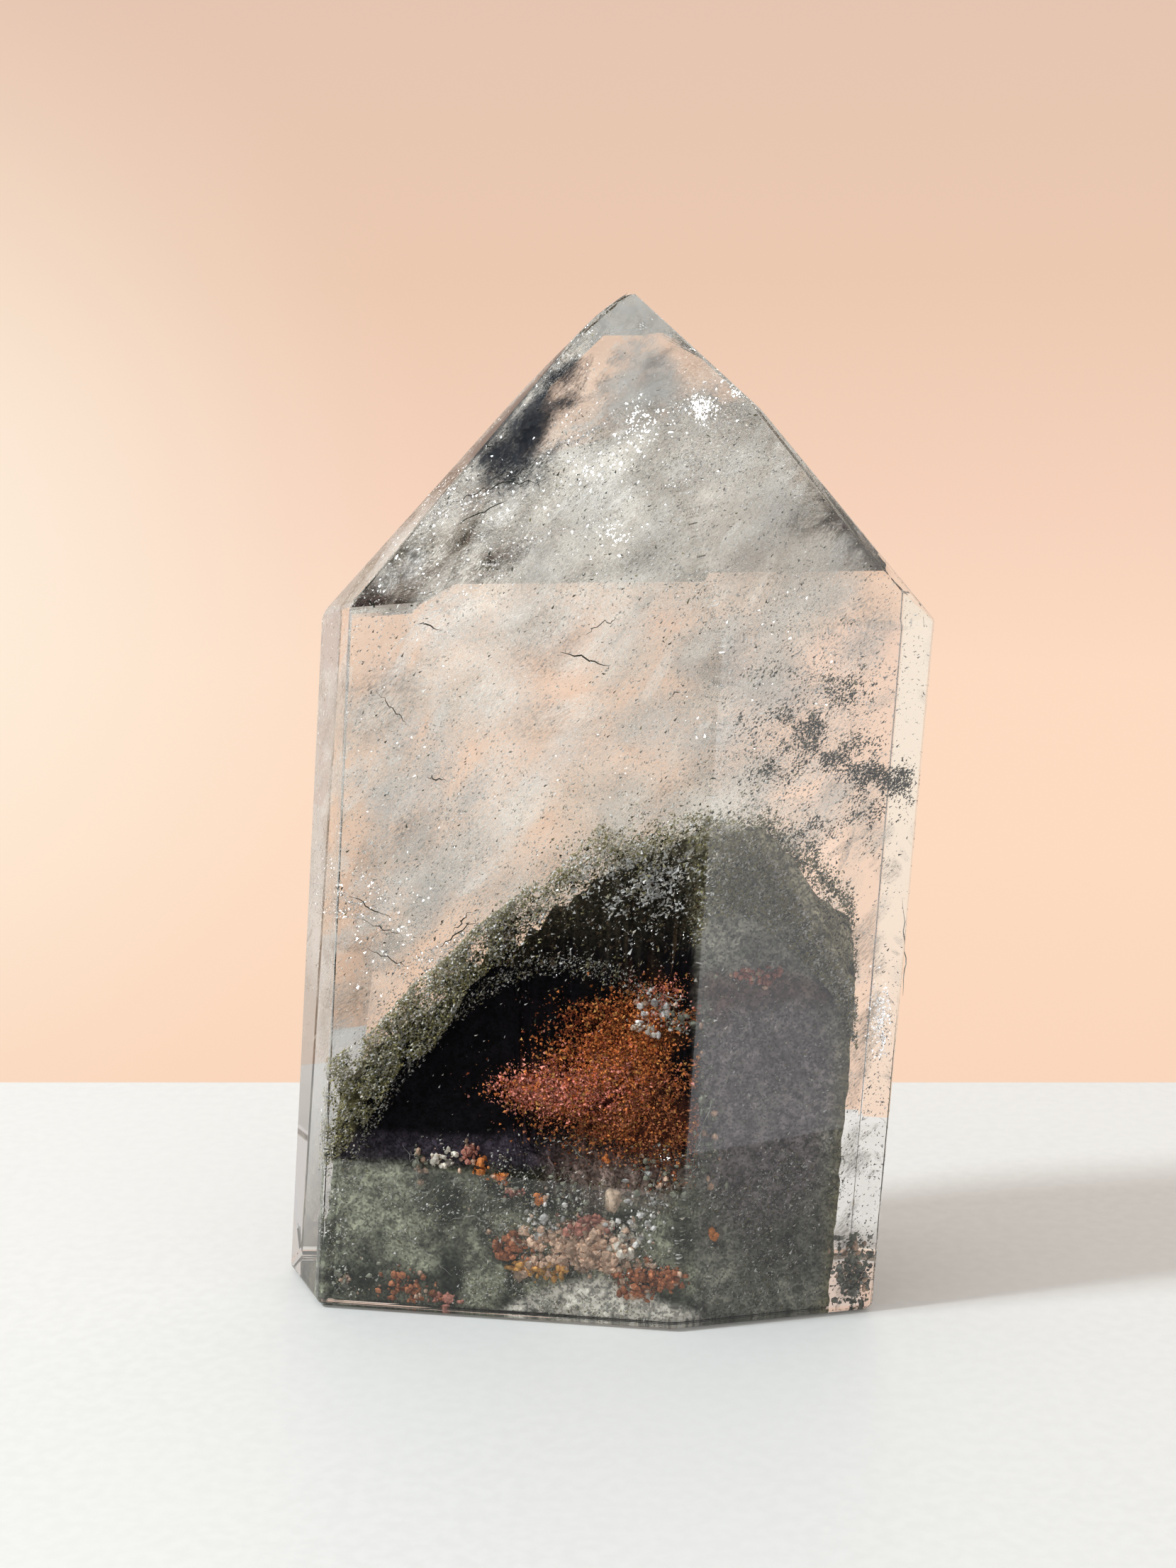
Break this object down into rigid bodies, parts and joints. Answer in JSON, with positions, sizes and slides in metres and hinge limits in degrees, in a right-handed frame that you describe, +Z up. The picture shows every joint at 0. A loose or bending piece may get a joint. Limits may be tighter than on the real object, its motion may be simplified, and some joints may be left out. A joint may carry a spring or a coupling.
{
  "type": "garden quartz tower",
  "caption": "Upright polished point of clear quartz with a flat foot and a dark green chlorite mound, red iron oxide and pale grains grown inside it.",
  "frame": {"origin": "centre of the bounding box at the foot, on the surface that the tower stands on", "axes": "+Z up from the foot to the tip, -Y towards the two broad front faces, +X to the right seen from the front"},
  "size_m": [0.0484, 0.0252, 0.075],
  "materials": {
    "clear_quartz": "polished clear natural quartz",
    "chlorite": "granular black-green mineral under a polished clear face",
    "iron_oxide": "earthy red and orange mineral",
    "pale_grains": "matt beige and pink grains"
  },
  "bodies": {
    "root": {"quartz_tower": "clear_quartz", "chlorite_garden": "chlorite", "iron_oxide_bloom": "iron_oxide", "pale_grain_cluster": "pale_grains"}
  },
  "joints": []
}
